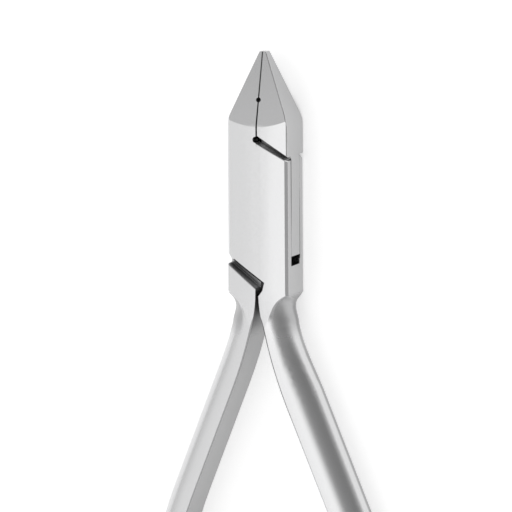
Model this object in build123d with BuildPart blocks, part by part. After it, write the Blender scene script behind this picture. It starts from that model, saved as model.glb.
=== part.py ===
"""Orthodontic pliers with a box joint: two forged halves and a pivot pin.

Millimetres. The pliers lie flat on their back with the jaws closed. X points to the right seen from the
front, Y toward the beak tips and Z up out of the front face. The origin is on the pivot axis, in the plane
of the back face.
"""

import os
from math import asin, atan2, cos, degrees, hypot, radians, sin, sqrt, tan

from build123d import *

os.makedirs("parts", exist_ok=True)

# Overall
overall_length = 130.0
tip_reach = 25.4  # pivot axis to the beak tip

# Box: the block in the middle, with a flat land down its slightly crowned front and back
box_width = 10.4
box_depth = 7.6
box_foot = 13.35  # pivot axis to the foot of the box
land_width = 1.2
crown_radius = 40.0
cheek_chamfer = 0.45  # long edges of the box half
jaw_chamfer = 0.18  # long edges of the tongue half

# Beak: a four-sided pyramid, split down the middle by the bite seam
front_taper_start = 13.5
front_blend = 4.0
side_taper_start = 14.4
side_blend = 8.0
blend_overrun = 0.03  # the blends run out this far above the faces of the box
tip_width = 1.2
tip_depth = 1.6
seam_gap_at_tip = 0.04
seam_gap_at_root = 0.26
wire_hole_diameter = 0.8
wire_hole_from_tip = 7.6

# Box joint: the tongue of one half runs through a slot between the cheeks of the other
tongue_depth = 3.6
slot_clearance = 0.06  # each face of the tongue
tongue_reach = 7.5  # pivot axis to the square ends of the tongue
opening_limit = 24.0  # degrees, where a tongue corner nears the slot floor
stop_clearance = 0.08
slot_edge = 0.1  # chamfer along the mouths of the slot
jaw_relief = 0.65  # centre line to the bottom of the round undercut in the box half's jaw
jaw_relief_radius = 0.5
foot_relief = 1.1  # centre line to the corner of the notch at the root of the box half's handle
foot_relief_height = 1.9
foot_relief_draft = 0.25  # slope of the notch below its corner, as a share of its height
neck_clearance = 0.6  # side room of the tongue in those undercuts

# Shoulders: slanted edges that part as the pliers open, by their height on the centre line
cheek_top = 10.85
cheek_top_slant = 28.0
jaw_shoulder = 12.05
jaw_shoulder_slant = 32.5
cheek_foot = 11.25
cheek_foot_slant = 35.0
handle_shoulder = 12.95
handle_shoulder_slant = 38.5
shoulder_bevel = 0.35  # foot of the cheeks
edge_break = 0.12  # all the sharper edges

# Pivot pin, with countersunk heads ground flush
pin_diameter = 3.2
pin_head_diameter = 4.2
pin_head_depth = 0.5
pin_clearance = 0.05  # radial, in the tongue

# Handles: flat inside, half-elliptical outside
box_handle_inset = 0.15  # centre line to the inner face at the foot of the box
box_handle_thickness = 5.6
box_neck_turn = 10.0  # degrees of the sharper bend at the root
box_splay = 22.6  # degrees from the centre line, after both bends
tongue_handle_inset = 0.33
tongue_handle_thickness = 4.7
tongue_neck_turn = 12.0  # degrees
tongue_splay = 21.7  # degrees
handle_edge = 0.24  # broken edges of the inner face
neck_radius = 20.0  # sharper bend at the root
bend_radius = 72.0  # easier bend after it
neck_waist = 0.45  # how far the necks draw in behind the sides of the box
side_scallop = 3.0  # run-out of the sides of the box into the half-ellipse
front_scallop = 6.3  # the same for its front and back
straight_length = 20.0
grip_radius = 70.0
grip_turn = 20.0
tail_radius = 150.0
end_length = 4.2  # rounded end of a handle, past its curved path
end_outer_radius = 3.4
end_inner_radius = 0.9
end_depth_radius = 2.8

# Places that follow from the sizes above
half_width = box_width / 2
mid_height = box_depth / 2
slot_floor = (
    half_width * sin(radians(opening_limit)) + tongue_reach * cos(radians(opening_limit)) + stop_clearance
)
handle_reach = overall_length - tip_reach
beyond = overall_length  # a length that clears the whole part

mid_section = Plane(origin=(0, 0, mid_height), x_dir=(1, 0, 0), z_dir=(0, -1, 0))


def on_slant(height, slant, x):
    """Height above the pivot of a shoulder line that falls to the right, at one place across the box."""
    return height - x * tan(radians(slant))


def box_section(plane, edge):
    """Return the crowned cross-section of the box, centred on a plane, with chamfered corners."""
    crown = degrees(asin((half_width - edge - land_width / 2) / crown_radius))
    with BuildSketch(plane) as section:
        with BuildLine():
            land = Line((0, mid_height), (land_width / 2, mid_height))
            face = JernArc(start=land @ 1, tangent=(1, 0), radius=crown_radius, arc_size=-crown)
            corner = Line(face @ 1, (half_width, (face @ 1).Y - edge))
            Line(corner @ 1, (half_width, 0))
            mirror(about=Plane.YZ)
            mirror(about=Plane.XZ)
        make_face()
    return section.sketch


def make_head(edge):
    """Return box and beak as one block, before it is parted into two halves."""
    blend_x = half_width + blend_overrun
    blend_z = mid_height + blend_overrun
    # the front and back of the beak would meet at a point past the tip
    point_reach = tip_reach + (tip_reach - front_taper_start) * tip_depth / (2 * blend_z - tip_depth)
    with BuildPart() as head:
        with BuildSketch(Plane.XY):
            with BuildLine():
                Polyline(
                    (-tip_width / 2, tip_reach),
                    (tip_width / 2, tip_reach),
                    (blend_x, side_taper_start),
                    (blend_x, -2 * box_foot),
                    (-blend_x, -2 * box_foot),
                    (-blend_x, side_taper_start),
                    close=True,
                )
            make_face()
            fillet(vertices().group_by(Axis.Y)[1], radius=side_blend)
        extrude(amount=2 * box_depth, both=True)
        with BuildSketch(Plane.YZ):
            with BuildLine():
                Polyline(
                    (point_reach, mid_height),
                    (front_taper_start, mid_height + blend_z),
                    (-2 * box_foot, mid_height + blend_z),
                    (-2 * box_foot, mid_height - blend_z),
                    (front_taper_start, mid_height - blend_z),
                    close=True,
                )
            make_face()
            fillet(vertices().group_by(Axis.X)[1], radius=front_blend)
        extrude(amount=2 * box_width, both=True, mode=Mode.INTERSECT)
        ridges = edges().filter_by(Axis.X, reverse=True).filter_by(Axis.Z, reverse=True)
        at_tip = ridges.filter_by(lambda ridge: ridge.bounding_box().max.Y > tip_reach - edge_break)
        chamfer(at_tip, length=edge_break)
        extrude(box_section(mid_section.offset(box_foot), edge), amount=-2 * beyond, mode=Mode.INTERSECT)
    return head.part


def shoulder_edges(slant, facing):
    """Return the front and back edges of the shoulders that face up (1) or down (-1) at one slant."""
    normal = Vector(sin(radians(slant)), cos(radians(slant)), 0) * facing
    shoulders = faces().filter_by(GeomType.PLANE).filter_by(lambda face: face.normal_at().dot(normal) > 0.9999)
    rims = shoulders.edges().filter_by(Axis.Z, reverse=True)
    return rims.filter_by(lambda rim: abs(rim.center().Z - mid_height) > mid_height - 2 * cheek_chamfer)


def frame_along(path, distance):
    """Return a section plane on a path: local x points outward, local z along the path."""
    share = distance / path.length
    along = path.tangent_at(share)
    return Plane(origin=path.position_at(share), x_dir=(-along.Y, along.X, 0), z_dir=along)


def handle_section(plane, thickness, depth):
    """Return a handle's section: flat on the inside, half an ellipse on the outside, its two edges broken."""
    trim = degrees(asin(handle_edge / thickness))
    with BuildSketch(plane) as section:
        with BuildLine():
            outside = EllipticalCenterArc(
                (0, 0), thickness, depth / 2, start_angle=trim - 90, arc_size=180 - 2 * trim
            )
            Polyline(outside @ 1, (0, depth / 2 - handle_edge), (0, handle_edge - depth / 2), outside @ 0)
        make_face()
    return section.sketch


def make_handle_end(frame, thickness):
    """Return the rounded end of a handle, on the section plane where its path stops."""
    plan = Plane(origin=frame.origin, x_dir=frame.z_dir, z_dir=frame.y_dir)
    side = Plane(origin=frame.origin, x_dir=frame.z_dir, z_dir=frame.x_dir)
    with BuildPart() as end:
        extrude(handle_section(frame, thickness, box_depth), amount=end_length)
        with BuildSketch(plan):
            Rectangle(end_length, thickness, align=Align.MIN)
            tip = vertices().group_by(Axis.X)[-1].sort_by(Axis.Y)
            fillet(tip[0], radius=end_inner_radius)
            fillet(vertices().group_by(Axis.X)[-1].sort_by(Axis.Y)[-1], radius=end_outer_radius)
        extrude(amount=box_depth, both=True, mode=Mode.INTERSECT)
        with BuildSketch(side):
            Rectangle(end_length, box_depth, align=(Align.MIN, Align.CENTER))
            fillet(vertices().group_by(Axis.X)[-1], radius=end_depth_radius)
        extrude(amount=thickness, mode=Mode.INTERSECT)
    return end.part


def make_handle(inset, thickness, neck_turn, splay):
    """Return a right-hand handle, from the foot of the box to its rounded end."""
    start = (inset, -box_foot, mid_height)
    with BuildLine() as neck_line:
        root = JernArc(start=start, tangent=(0, -1, 0), radius=neck_radius, arc_size=neck_turn)
        JernArc(root @ 1, root % 1, radius=bend_radius, arc_size=splay - neck_turn)
    neck = neck_line.wire()

    with BuildLine() as grip_line:
        straight = Line(neck @ 1, (neck @ 1) + (neck % 1) * straight_length)
        turn = JernArc(straight @ 1, straight % 1, radius=grip_radius, arc_size=-grip_turn)
        # the tail turns inward until the rounded end stands at the full reach of the handle
        lean_left = splay - grip_turn
        still_to_go = handle_reach + (turn @ 1).Y - end_outer_radius - tail_radius * sin(radians(lean_left))
        across = tail_radius + thickness - end_outer_radius
        ahead = end_length - end_outer_radius
        tail_turn = lean_left + degrees(asin(still_to_go / hypot(across, ahead)) - atan2(ahead, across))
        JernArc(turn @ 1, turn % 1, radius=tail_radius, arc_size=-tail_turn)
    grip = grip_line.wire()

    corner_thickness = (half_width - inset) * sqrt(2)
    corner_depth = box_depth * sqrt(2)
    waist_thickness = half_width - inset - neck_waist

    def foot_section(distance):
        place = neck.position_at(distance / neck.length)
        below = mid_section.offset(-place.Y)
        return box_section(below.move(Location((place.X - inset, 0, 0))), cheek_chamfer)

    def scallop_section(distance):
        from_waist = max(0, 1 - distance / side_scallop) ** 2
        from_end = (1 - distance / front_scallop) ** 2
        thick = waist_thickness + (corner_thickness - waist_thickness) * from_waist
        deep = box_depth + (corner_depth - box_depth) * from_end
        return handle_section(frame_along(neck, distance), thick, deep)

    def neck_section(distance):
        share = (distance - front_scallop) / (neck.length - front_scallop)
        eased = share * share * (3 - 2 * share)
        thick = waist_thickness + (thickness - waist_thickness) * eased
        return handle_section(frame_along(neck, distance), thick, box_depth)

    scallop_steps = [0, side_scallop / 2, side_scallop, (side_scallop + front_scallop) / 2, front_scallop]
    neck_steps = [front_scallop + (neck.length - front_scallop) * step / 5 for step in range(6)]
    grip_start = handle_section(frame_along(grip, 0), thickness, box_depth)

    with BuildPart() as handle:
        # the section of the box carried on down, its corners scalloped away to the half-ellipse
        loft([foot_section(0), foot_section(front_scallop)], ruled=True)
        loft([scallop_section(distance) for distance in scallop_steps], mode=Mode.INTERSECT)
        # neck, growing to the full thickness
        loft([neck_section(distance) for distance in neck_steps])
        # grip
        sweep(grip_start, path=grip)
        add(make_handle_end(frame_along(grip, grip.length), thickness))
    return handle.part


def make_pin():
    """Return the pin turned about the pivot axis, with a head sunk in each cheek."""
    shaft = pin_diameter / 2
    head = pin_head_diameter / 2
    with BuildPart() as pin:
        with BuildSketch(Plane.XZ):
            with BuildLine():
                Polyline(
                    (0, 0),
                    (head, 0),
                    (shaft, pin_head_depth),
                    (shaft, box_depth - pin_head_depth),
                    (head, box_depth),
                    (0, box_depth),
                    close=True,
                )
            make_face()
        revolve(axis=Axis.Z)
    return pin.part


box_blank = make_head(cheek_chamfer)
tongue_blank = make_head(jaw_chamfer)
pin_blank = make_pin()
box_handle = make_handle(box_handle_inset, box_handle_thickness, box_neck_turn, box_splay)
right_twin = make_handle(tongue_handle_inset, tongue_handle_thickness, tongue_neck_turn, tongue_splay)
tongue_handle = mirror(right_twin, about=Plane.YZ)

wire_hole_place = (0, tip_reach - wire_hole_from_tip)
jaw_relief_place = (
    jaw_relief_radius - jaw_relief,
    on_slant(cheek_top, cheek_top_slant, -jaw_relief) + jaw_relief_radius / 2,
)
foot_relief_top = on_slant(-cheek_foot, cheek_foot_slant, foot_relief)
foot_relief_foot = foot_relief_top - foot_relief_height
foot_relief_knee = (
    foot_relief - foot_relief_draft * foot_relief_height / 2,
    foot_relief_top - foot_relief_height / 2,
)
through = (Align.CENTER, Align.CENTER, Align.MIN)


# Box half: left jaw, front and back cheeks, right handle
with BuildPart() as box_half:
    add(box_blank)

    # clear the right jaw, down to the slanted top edge of the cheeks
    with BuildSketch(Plane.XY):
        with BuildLine():
            Polyline(
                (-seam_gap_at_tip / 2, tip_reach),
                (-seam_gap_at_tip / 2, beyond),
                (beyond, beyond),
                (beyond, on_slant(cheek_top, cheek_top_slant, beyond)),
                (-seam_gap_at_root / 2, on_slant(cheek_top, cheek_top_slant, -seam_gap_at_root / 2)),
                close=True,
            )
        make_face()
    extrude(amount=box_depth, mode=Mode.SUBTRACT)
    chamfer(shoulder_edges(cheek_top_slant, 1), length=edge_break)

    # clear the left handle, up to the slanted foot edge of the cheeks
    with BuildSketch(Plane.XY):
        with BuildLine():
            Polyline(
                (-beyond, on_slant(-cheek_foot, cheek_foot_slant, -beyond)),
                (foot_relief, foot_relief_top),
                foot_relief_knee,
                (box_handle_inset, foot_relief_foot),
                (box_handle_inset, -beyond),
                (-beyond, -beyond),
                close=True,
            )
        make_face()
    extrude(amount=box_depth, mode=Mode.SUBTRACT)
    chamfer(shoulder_edges(cheek_foot_slant, -1), length=shoulder_bevel)

    # slot for the tongue, open to both sides, with a square floor and ceiling
    with BuildSketch(Plane.XY.offset((box_depth - tongue_depth) / 2 - slot_clearance)):
        with BuildLine():
            Polyline(
                (box_width, -slot_floor),
                (foot_relief, -slot_floor),
                (foot_relief, foot_relief_top),
                (-box_width, foot_relief_top),
                (-box_width, slot_floor),
                (-jaw_relief, slot_floor),
                (-jaw_relief, jaw_relief_place[1]),
                (box_width, jaw_relief_place[1]),
                close=True,
            )
        make_face()
    extrude(amount=tongue_depth + 2 * slot_clearance, mode=Mode.SUBTRACT)
    mouths = edges().filter_by(Axis.Y).filter_by(lambda edge: abs(edge.center().X) > half_width - slot_edge)
    mouths = mouths.filter_by(lambda edge: abs(edge.center().Z - mid_height) < tongue_depth / 2 + slot_edge)
    chamfer(mouths, length=slot_edge)

    add(box_handle)
    add(pin_blank, mode=Mode.SUBTRACT)
    with Locations(wire_hole_place):
        Cylinder(wire_hole_diameter / 2, box_depth, align=through, mode=Mode.SUBTRACT)
    with Locations(jaw_relief_place):
        Cylinder(jaw_relief_radius, box_depth, align=through, mode=Mode.SUBTRACT)
    # the notch runs on into the inner face of the handle
    with BuildSketch(Plane.XY):
        with BuildLine():
            Polyline(
                foot_relief_knee,
                (box_handle_inset, foot_relief_foot),
                (-foot_relief, foot_relief_foot),
                (-foot_relief, foot_relief_knee[1]),
                close=True,
            )
        make_face()
    extrude(amount=box_depth, mode=Mode.SUBTRACT)


# Tongue half: right jaw, tongue, left handle
with BuildPart() as tongue_half:
    add(tongue_blank)

    # keep the right jaw above its shoulder and the left handle below its own
    with BuildSketch(Plane.XY):
        with BuildLine():
            Polyline(
                (seam_gap_at_tip / 2, tip_reach),
                (seam_gap_at_tip / 2, beyond),
                (beyond, beyond),
                (beyond, on_slant(jaw_shoulder, jaw_shoulder_slant, beyond)),
                (seam_gap_at_root / 2, on_slant(jaw_shoulder, jaw_shoulder_slant, seam_gap_at_root / 2)),
                close=True,
            )
        make_face()
        with BuildLine():
            Polyline(
                (-beyond, on_slant(-handle_shoulder, handle_shoulder_slant, -beyond)),
                (-tongue_handle_inset, on_slant(-handle_shoulder, handle_shoulder_slant, -tongue_handle_inset)),
                (-tongue_handle_inset, -beyond),
                (-beyond, -beyond),
                close=True,
            )
        make_face()
    extrude(amount=box_depth, mode=Mode.INTERSECT)
    chamfer(shoulder_edges(jaw_shoulder_slant, -1), length=edge_break)
    chamfer(shoulder_edges(handle_shoulder_slant, 1), length=edge_break)

    # tongue between the cheeks
    with BuildSketch(Plane.XY.offset((box_depth - tongue_depth) / 2)):
        with BuildLine():
            Polyline(
                (half_width, -tongue_reach),
                (foot_relief - neck_clearance, -tongue_reach),
                (-tongue_handle_inset, -box_foot),
                (-half_width, -box_foot),
                (-half_width, tongue_reach),
                (-jaw_relief + neck_clearance, tongue_reach),
                (seam_gap_at_root / 2, jaw_shoulder),
                (half_width, jaw_shoulder),
                close=True,
            )
        make_face()
    extrude(amount=tongue_depth)

    add(tongue_handle)
    Cylinder(pin_diameter / 2 + pin_clearance, box_depth, align=through, mode=Mode.SUBTRACT)
    with Locations(wire_hole_place):
        Cylinder(wire_hole_diameter / 2, box_depth, align=through, mode=Mode.SUBTRACT)


# Pivot pin, its ends ground to the crown of the cheeks
with BuildPart() as joint_pin:
    add(pin_blank)
    add(box_blank, mode=Mode.INTERSECT)


box_half.part.label = "box_half"
export_step(box_half.part, "parts/box_half.step")

tongue_half.part.label = "tongue_half"
export_step(tongue_half.part, "parts/tongue_half.step")

joint_pin.part.label = "joint_pin"
export_step(joint_pin.part, "parts/joint_pin.step")
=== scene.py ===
"""Orthodontic pliers with a box joint, in satin steel, lying closed on a pale table.

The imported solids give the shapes, in metres: +Y toward the beak tips, +Z out of the front face. This script
gives the steel its finish and sets up the table, the studio light and the camera.
"""

import logging
import math
from dataclasses import dataclass, field
from enum import Enum

import bmesh
import bpy
from mathutils import Matrix, Vector


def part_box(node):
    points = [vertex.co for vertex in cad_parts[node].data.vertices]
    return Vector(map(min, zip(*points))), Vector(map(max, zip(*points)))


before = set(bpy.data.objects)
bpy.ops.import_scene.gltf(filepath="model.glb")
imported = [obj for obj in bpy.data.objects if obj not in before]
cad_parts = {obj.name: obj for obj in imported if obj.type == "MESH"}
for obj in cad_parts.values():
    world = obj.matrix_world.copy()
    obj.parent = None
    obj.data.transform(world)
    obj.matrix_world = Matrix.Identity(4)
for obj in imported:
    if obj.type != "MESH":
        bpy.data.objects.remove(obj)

log = logging.getLogger("pliers")

MM = 0.001

Socket = bpy.types.NodeSocket
Number = Socket | float
Colour = tuple[float, float, float]


class Body(Enum):
    """The two bodies that the pivot pin joins."""

    BOX = "box_body"
    TONGUE = "tongue_body"


class Ray(Enum):
    """Rays that see the table lifted to plain white."""

    CAMERA = "Is Camera Ray"
    GLOSSY = "Is Glossy Ray"
    TRANSMISSION = "Is Transmission Ray"


@dataclass(frozen=True)
class Span:
    """Stretch over which a soft step runs, in the unit of what is measured along it."""

    start: Number
    end: Number


@dataclass(frozen=True)
class Axes:
    """Sockets of the three parts of a vector: across the pliers, along them and up from the back."""

    across: Socket
    along: Socket
    up: Socket


def shade(colour: Colour, share: float = 1.0) -> tuple[float, float, float, float]:
    """Return a share of a colour, with full alpha."""
    return (*(channel * share for channel in colour), 1.0)


class NodeBench:
    """Adds nodes to one shader tree and wires them together."""

    line_softness: float = 0.4

    def __init__(self, tree: bpy.types.NodeTree) -> None:
        """Empty the tree and keep it.

        Args:
            tree: Node tree of a material or of the world.
        """
        self.tree = tree
        tree.nodes.clear()

    def add(self, kind: str, **settings: object) -> bpy.types.Node:
        """Add a node.

        Args:
            kind: Blender's type name of the node.
            settings: Node properties to set.

        Returns:
            The new node.
        """
        node = self.tree.nodes.new(kind)
        for name, value in settings.items():
            setattr(node, name, value)
        return node

    def feed(self, socket: Socket, value: object) -> None:
        """Link a socket to another one, or set it to a plain value.

        Args:
            socket: Input socket.
            value: Output socket or plain value.
        """
        if isinstance(value, Socket):
            self.tree.links.new(value, socket)
        else:
            socket.default_value = value

    def math(self, operation: str, *values: Number) -> Socket:
        """Combine numbers in one node.

        Args:
            operation: Operation of a Math node.
            values: Output sockets or numbers, in the order of the node's inputs.

        Returns:
            The result's socket.
        """
        node = self.add("ShaderNodeMath", operation=operation)
        for socket, value in zip(node.inputs, values):
            self.feed(socket, value)
        return node.outputs[0]

    def chain(self, operation: str, *values: Number) -> Socket:
        """Combine any count of numbers, two at a time.

        Args:
            operation: Operation of a Math node.
            values: Output sockets or numbers, at least two.

        Returns:
            The result's socket.
        """
        total = values[0]
        for value in values[1:]:
            total = self.math(operation, total, value)
        return total

    def all_of(self, *values: Number) -> Socket:
        """Multiply numbers."""
        return self.chain("MULTIPLY", *values)

    def most_of(self, *values: Number) -> Socket:
        """Take the greatest of some numbers."""
        return self.chain("MAXIMUM", *values)

    def between(self, factor: Socket, at_zero: float, at_one: float) -> Socket:
        """Go straight from one number, at factor 0, to another, at factor 1."""
        return self.math("MULTIPLY_ADD", factor, at_one - at_zero, at_zero)

    def ease(self, value: Number, span: Span, before: Number = 0.0, after: Number = 1.0) -> Socket:
        """Go from one number to another over a span, as a smooth step.

        Args:
            value: Number that runs along the span.
            span: Where the step starts and ends.
            before: Result up to the start.
            after: Result from the end on.

        Returns:
            The result's socket.
        """
        node = self.add("ShaderNodeMapRange", interpolation_type="SMOOTHSTEP")
        numbers = {
            "Value": value,
            "From Min": span.start,
            "From Max": span.end,
            "To Min": before,
            "To Max": after,
        }
        for name, number in numbers.items():
            self.feed(node.inputs[name], number)
        return node.outputs["Result"]

    def fade(self, value: Number, span: Span) -> Socket:
        """Go from 1 to 0 over a span, as a smooth step."""
        return self.ease(value, span, 1.0, 0.0)

    def line(self, value: Socket, middle: float, half_width: float) -> Socket:
        """Give 1 along a soft line and 0 away from it.

        Args:
            value: Coordinate across the line, in metres.
            middle: Where the line runs, in metres.
            half_width: From its middle to the middle of its soft edge, in metres.

        Returns:
            The result's socket.
        """
        away = self.math("ABSOLUTE", self.math("SUBTRACT", value, middle))
        soft = half_width * self.line_softness
        return self.fade(away, Span(half_width - soft, half_width + soft))

    def noise(self, spot: Socket, size: float, detail: float) -> Socket:
        """Add a noise pattern.

        Args:
            spot: Coordinates, in metres.
            size: Size of its grains, in metres.
            detail: Octaves of finer noise.

        Returns:
            The socket of its value, from 0 to 1.
        """
        node = self.add("ShaderNodeTexNoise", noise_dimensions="3D")
        node.inputs["Scale"].default_value = 1 / size
        node.inputs["Detail"].default_value = detail
        self.feed(node.inputs["Vector"], spot)
        return node.outputs["Fac"]

    def blend(self, first: object, second: object, factor: Number) -> Socket:
        """Mix two colours.

        Args:
            first: Colour at factor 0, an output socket or red, green, blue and alpha.
            second: Colour at factor 1, in the same form.
            factor: Share of the second colour.

        Returns:
            The socket of the mixed colour.
        """
        node = self.add("ShaderNodeMix", data_type="RGBA")
        for name, value in (("A", first), ("B", second), ("Factor", factor)):
            self.feed(node.inputs[name], value)
        return node.outputs["Result"]

    def split(self, vector: Socket) -> Axes:
        """Take a vector apart.

        Args:
            vector: Socket of the vector.

        Returns:
            The sockets of its three parts.
        """
        node = self.add("ShaderNodeSeparateXYZ")
        self.feed(node.inputs[0], vector)
        return Axes(*(node.outputs[axis] for axis in ("X", "Y", "Z")))

    def shows(self, *rays: Ray) -> Socket:
        """Give 1 for the kinds of ray named and 0 for all others."""
        path = self.add("ShaderNodeLightPath")
        return self.most_of(*(path.outputs[ray.value] for ray in rays))


@dataclass(frozen=True)
class BlastedAndShadedHollow:
    """Hollows where the handles leave the box, rougher from the blasting and darkened with painted shade."""

    from_handle: Span = Span(-22.0 * MM, -17.0 * MM)
    to_box: Span = Span(-14.6 * MM, -13.2 * MM)
    below_front: Span = Span(7.2 * MM, 7.5 * MM)
    roughness: float = 0.2
    # painted shade: share of the colour kept in the hollows
    tone: float = 0.7

    def share(self, bench: NodeBench, place: Axes) -> Socket:
        """Tell the hollows from the rest.

        Args:
            bench: Bench of the steel's node tree.
            place: Coordinates, in metres.

        Returns:
            The socket of a number, 1 in the hollows and 0 away from them.
        """
        return bench.all_of(
            bench.ease(place.along, self.from_handle),
            bench.fade(place.along, self.to_box),
            bench.fade(place.up, self.below_front),
        )


@dataclass(frozen=True)
class PaintedGapShade:
    """Painted shade in the gaps of the joint, along the bite and along the slot in the side of the box."""

    # painted shade: share of the colour left deep in the gaps
    tone: float = 0.03
    reach: float = 1.6 * MM
    reach_samples: int = 16
    # openness, from 0 to 1, over which the painted shade thins out, in wide gaps and in tight ones
    wide_gap: Span = Span(0.05, 0.36)
    tight_gap: Span = Span(0.19, 0.82)

    low_gap_start: Span = Span(-22.0 * MM, -17.0 * MM)
    low_gap_end: Span = Span(-7.0 * MM, -5.0 * MM)
    low_gap_right: Span = Span(2.0 * MM, 4.0 * MM)
    low_gap_front: Span = Span(6.4 * MM, 7.5 * MM)

    high_gap_start: Span = Span(3.0 * MM, 5.0 * MM)
    high_gap_right: Span = Span(4.2 * MM, 4.7 * MM)
    high_gap_front: Span = Span(5.7 * MM, 6.1 * MM)
    high_gap_share: float = 0.5

    bite_half_width: float = 0.11 * MM
    bite_start: Span = Span(10.0 * MM, 12.0 * MM)
    bite_walls: Span = Span(0.5, 0.8)
    bite_share: float = 0.8

    slot_half_width: float = 0.12 * MM
    slot_front: float = 5.63 * MM
    slot_back: float = 1.97 * MM
    slot_side: Span = Span(4.9 * MM, 5.0 * MM)
    slot_top: Span = Span(8.2 * MM, 8.6 * MM)
    slot_front_run: Span = Span(-6.0 * MM, 4.0 * MM)
    slot_back_start: Span = Span(-8.5 * MM, -8.0 * MM)
    slot_back_run: Span = Span(-4.0 * MM, 6.0 * MM)
    slot_share: float = 0.9
    slot_back_end_share: float = 0.2

    def clean(self, bench: NodeBench, place: Axes, facing: Axes) -> Socket:
        """Tell unshaded steel from painted shade in the gaps.

        Args:
            bench: Bench of the steel's node tree.
            place: Coordinates, in metres.
            facing: Direction in which the surface points.

        Returns:
            The socket of a number, 1 on bare steel and 0 under full film.
        """
        lines = bench.most_of(self._bite(bench, place, facing), *self._slot(bench, place))
        return bench.all_of(self._open(bench, place), bench.math("SUBTRACT", 1.0, lines))

    def _open(self, bench: NodeBench, place: Axes) -> Socket:
        """Tell open steel from the depth of the gaps.

        Args:
            bench: Bench of the steel's node tree.
            place: Coordinates, in metres.

        Returns:
            The socket of a number, 1 in the open and 0 deep in a gap.
        """
        low_gap = bench.all_of(
            bench.ease(place.along, self.low_gap_start),
            bench.fade(place.along, self.low_gap_end),
            bench.fade(place.across, self.low_gap_right),
            bench.fade(place.up, self.low_gap_front),
        )
        high_gap = bench.all_of(
            bench.ease(place.along, self.high_gap_start),
            bench.fade(place.across, self.high_gap_right),
            bench.ease(place.up, self.high_gap_front, self.high_gap_share, 0.0),
        )
        tight = bench.most_of(low_gap, high_gap)
        # painted shade where ambient occlusion finds the steel closed in
        recess = bench.add("ShaderNodeAmbientOcclusion", samples=self.reach_samples)
        recess.inputs["Distance"].default_value = self.reach
        shade_ends = Span(
            bench.between(tight, self.wide_gap.start, self.tight_gap.start),
            bench.between(tight, self.wide_gap.end, self.tight_gap.end),
        )
        return bench.ease(recess.outputs["AO"], shade_ends)

    def _bite(self, bench: NodeBench, place: Axes, facing: Axes) -> Socket:
        """Draw painted shade along the bite, on the front and not on the walls of the seam.

        Args:
            bench: Bench of the steel's node tree.
            place: Coordinates, in metres.
            facing: Direction in which the surface points.

        Returns:
            The socket of its strength.
        """
        return bench.all_of(
            bench.line(place.across, 0.0, self.bite_half_width),
            bench.ease(place.along, self.bite_start),
            bench.ease(bench.math("ABSOLUTE", facing.across), self.bite_walls, self.bite_share, 0.0),
        )

    def _slot(self, bench: NodeBench, place: Axes) -> tuple[Socket, Socket]:
        """Draw painted shade along both edges of the slot in the right side of the box.

        Args:
            bench: Bench of the steel's node tree.
            place: Coordinates, in metres.

        Returns:
            The sockets of its strength along the front edge and along the back edge.
        """
        side = bench.all_of(
            bench.ease(place.across, self.slot_side),
            bench.fade(place.along, self.slot_top),
        )
        front = bench.all_of(
            bench.line(place.up, self.slot_front, self.slot_half_width),
            side,
            bench.ease(place.along, self.slot_front_run, 0.0, self.slot_share),
        )
        back = bench.all_of(
            bench.line(place.up, self.slot_back, self.slot_half_width),
            side,
            bench.ease(place.along, self.slot_back_start),
            bench.ease(place.along, self.slot_back_run, self.slot_share, self.slot_back_end_share),
        )
        return front, back


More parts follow.
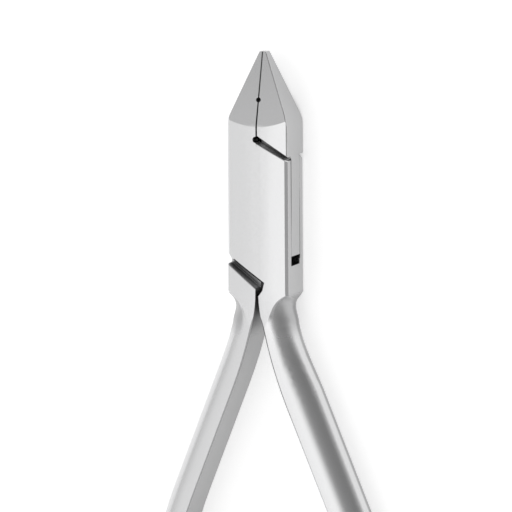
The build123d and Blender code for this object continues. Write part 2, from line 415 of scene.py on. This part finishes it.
@dataclass(frozen=True)
class SatinSteel:
    """Stainless steel: ground on box and beak, finely blasted on the handles, with painted shade on upright
    sides, toward the tip, in the hollows and in the gaps.
    """

    name: str = "satin_steel"
    colour: Colour = (0.67, 0.67, 0.675)
    ground_roughness: float = 0.19
    blasted_roughness: float = 0.24
    # from the blasted handles to the ground box
    blasting_end: Span = Span(-24.0 * MM, -13.0 * MM)

    coarse_grain: float = 0.22 * MM
    coarse_detail: float = 2.0
    coarse_share: float = 0.45
    fine_grain: float = 0.07 * MM
    fine_detail: float = 1.0
    grain_tone: float = 0.94
    grain_tones: Span = Span(0.35, 0.65)
    grain_roughness: float = 0.08
    grain_depth: float = 0.0012 * MM
    ground_bump: float = 0.4
    blasted_bump: float = 1.0

    edge_radius: float = 0.13 * MM
    edge_samples: int = 8
    pin_rim: Span = Span(2.6 * MM, 2.8 * MM)

    # painted shade: the beak darker toward its tip
    beak: Span = Span(14.0 * MM, 25.0 * MM)
    tip_shade: float = 0.92
    # how far a face leans from upright, as the rise of its normal, where it stops being a side
    side_lean: Span = Span(0.06, 0.26)
    # painted shade: upright sides darker than front and back, most of all on the handles
    upright_side_shade: float = 0.72
    handle_side_shade: float = 0.52

    hollow: BlastedAndShadedHollow = BlastedAndShadedHollow()
    gap_shade: PaintedGapShade = PaintedGapShade()

    def material(self) -> bpy.types.Material:
        """Return the steel as a node material, made on first use."""
        made = bpy.data.materials.get(self.name + "_finish")
        return made if made else self._make()

    def _make(self) -> bpy.types.Material:
        """Build the node tree.

        Returns:
            The new material.
        """
        steel = bpy.data.materials.new(self.name + "_finish")
        steel.use_nodes = True
        bench = NodeBench(steel.node_tree)
        spot = bench.add("ShaderNodeTexCoord").outputs["Object"]
        place = bench.split(spot)
        blasted = bench.fade(place.along, self.blasting_end)
        grain = self._grain(bench, spot)
        hollow = self.hollow.share(bench, place)

        shader = bench.add("ShaderNodeBsdfPrincipled")
        shader.inputs["Metallic"].default_value = 1.0
        bench.feed(shader.inputs["Base Color"], self._tone(bench, place, grain, hollow))
        bench.feed(shader.inputs["Roughness"], self._roughness(bench, blasted, grain, hollow))
        bench.feed(shader.inputs["Normal"], self._relief(bench, place, blasted, grain))
        output = bench.add("ShaderNodeOutputMaterial")
        bench.feed(output.inputs["Surface"], shader.outputs["BSDF"])
        return steel

    def _grain(self, bench: NodeBench, spot: Socket) -> Socket:
        """Make the grain of grinding and blasting.

        Args:
            bench: Bench of the steel's node tree.
            spot: Coordinates, in metres.

        Returns:
            The socket of its height, from 0 to 1.
        """
        coarse = bench.noise(spot, self.coarse_grain, self.coarse_detail)
        fine = bench.noise(spot, self.fine_grain, self.fine_detail)
        return bench.math(
            "ADD",
            bench.math("MULTIPLY", coarse, self.coarse_share),
            bench.math("MULTIPLY", fine, 1.0 - self.coarse_share),
        )

    def _tone(self, bench: NodeBench, place: Axes, grain: Socket, hollow: Socket) -> Socket:
        """Mix the colour: darker in the grain, and with painted shade on upright sides, toward the tip, in
        the hollows and in the gaps.

        Args:
            bench: Bench of the steel's node tree.
            place: Coordinates, in metres.
            grain: Height of the grain.
            hollow: 1 in the hollows, 0 away from them.

        Returns:
            The socket of the colour.
        """
        facing = bench.split(bench.add("ShaderNodeNewGeometry").outputs["Normal"])
        # painted shade on upright sides, deeper on the handles than on box and beak
        side = bench.ease(place.along, self.blasting_end, self.handle_side_shade, self.upright_side_shade)
        bright = bench.all_of(
            # painted shade in the gaps
            self.gap_shade.clean(bench, place, facing),
            # painted shade toward the tip of the beak
            bench.ease(place.along, self.beak, 1.0, self.tip_shade),
            bench.ease(bench.math("ABSOLUTE", facing.up), self.side_lean, side, 1.0),
            # painted shade in the hollows
            bench.ease(hollow, Span(0.0, 1.0), 1.0, self.hollow.tone),
        )
        grained = bench.blend(
            shade(self.colour, self.grain_tone),
            shade(self.colour),
            bench.ease(grain, self.grain_tones),
        )
        return bench.blend(shade(self.colour, self.gap_shade.tone), grained, bright)

    def _roughness(self, bench: NodeBench, blasted: Socket, grain: Socket, hollow: Socket) -> Socket:
        """Make the steel rougher where it is blasted, most of all in the hollows.

        Args:
            bench: Bench of the steel's node tree.
            blasted: 1 on the handles, 0 on box and beak.
            grain: Height of the grain.
            hollow: 1 in the hollows, 0 away from them.

        Returns:
            The socket of the roughness.
        """
        base = bench.between(blasted, self.ground_roughness, self.blasted_roughness)
        base = bench.math("MULTIPLY_ADD", hollow, self.hollow.roughness, base)
        lowest = bench.math("SUBTRACT", base, self.grain_roughness / 2)
        return bench.math("MULTIPLY_ADD", grain, self.grain_roughness, lowest)

    def _relief(self, bench: NodeBench, place: Axes, blasted: Socket, grain: Socket) -> Socket:
        """Round the edges a little and raise the grain.

        The ends of the pin are ground in one go with the cheeks, so no edge shows there.

        Args:
            bench: Bench of the steel's node tree.
            place: Coordinates, in metres.
            blasted: 1 on the handles, 0 on box and beak.
            grain: Height of the grain.

        Returns:
            The socket of the normal.
        """
        squares = (bench.math("POWER", part, 2.0) for part in (place.across, place.along))
        from_pin = bench.math("SQRT", bench.math("ADD", *squares))
        edge = bench.add("ShaderNodeBevel", samples=self.edge_samples)
        bench.feed(edge.inputs["Radius"], bench.ease(from_pin, self.pin_rim, 0.0, self.edge_radius))
        bump = bench.add("ShaderNodeBump")
        bump.inputs["Distance"].default_value = self.grain_depth
        bench.feed(bump.inputs["Strength"], bench.between(blasted, self.ground_bump, self.blasted_bump))
        bench.feed(bump.inputs["Height"], grain)
        bench.feed(bump.inputs["Normal"], edge.outputs["Normal"])
        return bump.outputs["Normal"]


@dataclass(frozen=True)
class PaleTable:
    """Matt white table top that reads as plain white and keeps a soft shadow."""

    name: str = "pale_table"
    colour: Colour = (0.82, 0.82, 0.82)
    speck: float = 4.0 * MM
    speck_detail: float = 3.0
    speck_tone: float = 0.98
    lift: float = 0.54

    def material(self) -> bpy.types.Material:
        """Make the table's finish, lit by the studio and lifted to plain white.

        Returns:
            The new material.
        """
        table = bpy.data.materials.new(self.name)
        table.use_nodes = True
        bench = NodeBench(table.node_tree)
        spot = bench.add("ShaderNodeTexCoord").outputs["Object"]
        specks = bench.noise(spot, self.speck, self.speck_detail)
        matt = bench.add("ShaderNodeBsdfDiffuse")
        tone = bench.blend(shade(self.colour, self.speck_tone), shade(self.colour), specks)
        bench.feed(matt.inputs["Color"], tone)
        glow = bench.add("ShaderNodeEmission")
        bench.feed(glow.inputs["Strength"], bench.math("MULTIPLY", bench.shows(*Ray), self.lift))
        lit = bench.add("ShaderNodeAddShader")
        bench.feed(lit.inputs[0], matt.outputs[0])
        bench.feed(lit.inputs[1], glow.outputs[0])
        output = bench.add("ShaderNodeOutputMaterial")
        bench.feed(output.inputs["Surface"], lit.outputs[0])
        return table


@dataclass
class SteelPiece:
    """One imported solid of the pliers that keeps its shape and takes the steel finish."""

    node: str
    body: Body
    what: str
    finish: SatinSteel

    def dress(self) -> bpy.types.Object:
        """Give the solid its finish.

        Returns:
            The dressed object.
        """
        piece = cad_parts[self.node]
        steel = self.finish.material()
        for slot in piece.material_slots:
            slot.material = steel
        low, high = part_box(self.node)
        size = [round((top - bottom) / MM, 1) for bottom, top in zip(low, high)]
        log.info("%s: %s, on %s, %s mm", self.node, self.what, self.body.value, size)
        return piece


@dataclass
class Pliers:
    """The whole tool: two forged halves and the pin that joins them."""

    finish: SatinSteel = field(default_factory=SatinSteel)

    def pieces(self) -> list[SteelPiece]:
        """Return the pieces in the order in which they are put together."""
        return [
            SteelPiece("box_half", Body.BOX, "left jaw, both cheeks, right handle", self.finish),
            SteelPiece("tongue_half", Body.TONGUE, "right jaw, tongue, left handle", self.finish),
            SteelPiece("joint_pin", Body.BOX, "pivot pin, heads ground flush", self.finish),
        ]


@dataclass
class Studio:
    """White tent with a softbox overhead, a dark flag on the right and a shaded end beyond the beak.

    Its spans are in degrees, from straight up over to the right, or toward the beak.
    """

    table_reach: float = 1.5
    table_drop: float = 0.02 * MM
    table_sides: int = 96

    tent: float = 1.04
    softbox: float = 1.34
    softbox_core: float = 1.5
    box_left: Span = Span(-23.0, -16.0)
    box_core: Span = Span(-6.0, 3.0)
    box_right: Span = Span(4.0, 16.0)
    box_near: Span = Span(-70.0, -50.0)
    box_far: Span = Span(6.0, 14.0)

    flag: float = 0.38
    near_flag: float = 0.56
    near_flag_shift: float = 30.0
    flag_near: Span = Span(-22.0, -9.0)
    flag_left: Span = Span(6.0, 22.0)
    flag_right: Span = Span(62.0, 92.0)

    far_left: float = 0.7
    left_end: Span = Span(-98.0, -48.0)
    shaded_end: float = 0.66
    beak_end: Span = Span(5.0, 17.0)

    def table(self) -> bpy.types.Object:
        """Make the table top.

        Returns:
            The table.
        """
        mesh = bpy.data.meshes.new("table_top")
        shape = bmesh.new()
        bmesh.ops.create_circle(shape, cap_ends=True, segments=self.table_sides, radius=self.table_reach)
        bmesh.ops.translate(shape, verts=shape.verts, vec=Vector((0, 0, -self.table_drop)))
        shape.to_mesh(mesh)
        shape.free()
        mesh.materials.append(PaleTable().material())
        top = bpy.data.objects.new("table_top", mesh)
        bpy.context.scene.collection.objects.link(top)
        return top

    def light(self) -> bpy.types.World:
        """Light the tent.

        Returns:
            The world that holds it.
        """
        world = bpy.data.worlds.new("studio_tent")
        world.use_nodes = True
        bpy.context.scene.world = world
        bench = NodeBench(world.node_tree)
        sky = bench.add("ShaderNodeBackground")
        sky.inputs["Color"].default_value = shade((1.0, 1.0, 1.0))
        bench.feed(sky.inputs["Strength"], self._level(bench))
        output = bench.add("ShaderNodeOutputWorld")
        bench.feed(output.inputs["Surface"], sky.outputs[0])
        return world

    def _level(self, bench: NodeBench) -> Socket:
        """Work out how bright the tent is in each direction.

        Args:
            bench: Bench of the world's node tree.

        Returns:
            The socket of the brightness, 1 for white.
        """
        way = bench.split(bench.add("ShaderNodeTexCoord").outputs["Generated"])
        over = bench.math("DEGREES", bench.math("ARCTAN2", way.across, way.up))
        ahead = bench.math("DEGREES", bench.math("ARCSINE", way.along))

        box = bench.all_of(
            bench.ease(over, self.box_left),
            bench.fade(over, self.box_right),
            bench.ease(ahead, self.box_near),
            bench.fade(ahead, self.box_far),
        )
        lamp = bench.ease(over, self.box_core, self.softbox - self.tent, self.softbox_core - self.tent)
        level = bench.math("MULTIPLY_ADD", box, lamp, self.tent)

        # the near end of the flag is thinner and hangs further to the right
        near = bench.fade(ahead, self.flag_near)
        hung = bench.math("MULTIPLY_ADD", near, -self.near_flag_shift, over)
        flag = bench.all_of(bench.ease(over, self.flag_left), bench.fade(hung, self.flag_right))
        drop = bench.between(near, self.flag - self.tent, self.near_flag - self.tent)
        level = bench.math("MULTIPLY_ADD", flag, drop, level)
        return bench.all_of(
            level,
            bench.ease(over, self.left_end, self.far_left, 1.0),
            bench.ease(ahead, self.beak_end, 1.0, self.shaded_end),
        )


@dataclass
class PhotoCamera:
    """Long-lens camera above the table, turned to the right of the box and a little toward the beak."""

    toward: tuple[float, float, float] = (0.371, 0.139, 0.918)
    pivot: tuple[float, float, float] = (0.0, 0.0, 3.8 * MM)
    roll: float = 0.4
    span: float = 82.58 * MM
    distance: float = 0.9
    aim_right: float = -1.533 * MM
    aim_up: float = -7.79 * MM
    sensor: float = 36.0
    clip_start: float = 0.01
    clip_end: float = 10.0

    def place(self) -> bpy.types.Object:
        """Make the camera and hand it to the scene.

        Returns:
            The camera.
        """
        back = Vector(self.toward).normalized()
        level_right = Vector((back.z, 0, -back.x)).normalized()
        level_up = back.cross(level_right)
        turn = math.radians(self.roll)
        right = level_right * math.cos(turn) - level_up * math.sin(turn)
        up = level_right * math.sin(turn) + level_up * math.cos(turn)
        aim = Vector(self.pivot) + right * self.aim_right + up * self.aim_up
        lens = bpy.data.cameras.new("photo_camera")
        lens.sensor_width = self.sensor
        lens.lens = self.sensor * self.distance / self.span
        lens.clip_start = self.clip_start
        lens.clip_end = self.clip_end
        camera = bpy.data.objects.new("photo_camera", lens)
        turned = Matrix((right, up, back)).transposed().to_4x4()
        camera.matrix_world = Matrix.Translation(aim + back * self.distance) @ turned
        bpy.context.scene.collection.objects.link(camera)
        bpy.context.scene.camera = camera
        return camera


def main() -> None:
    """Dress the pliers, then set up table, light and camera."""
    logging.basicConfig(level=logging.INFO, format="%(name)s: %(message)s")
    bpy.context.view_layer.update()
    for piece in Pliers().pieces():
        piece.dress()
    studio = Studio()
    studio.table()
    studio.light()
    PhotoCamera().place()
    bpy.context.scene.view_settings.view_transform = "Standard"


if __name__ == "__main__":
    main()
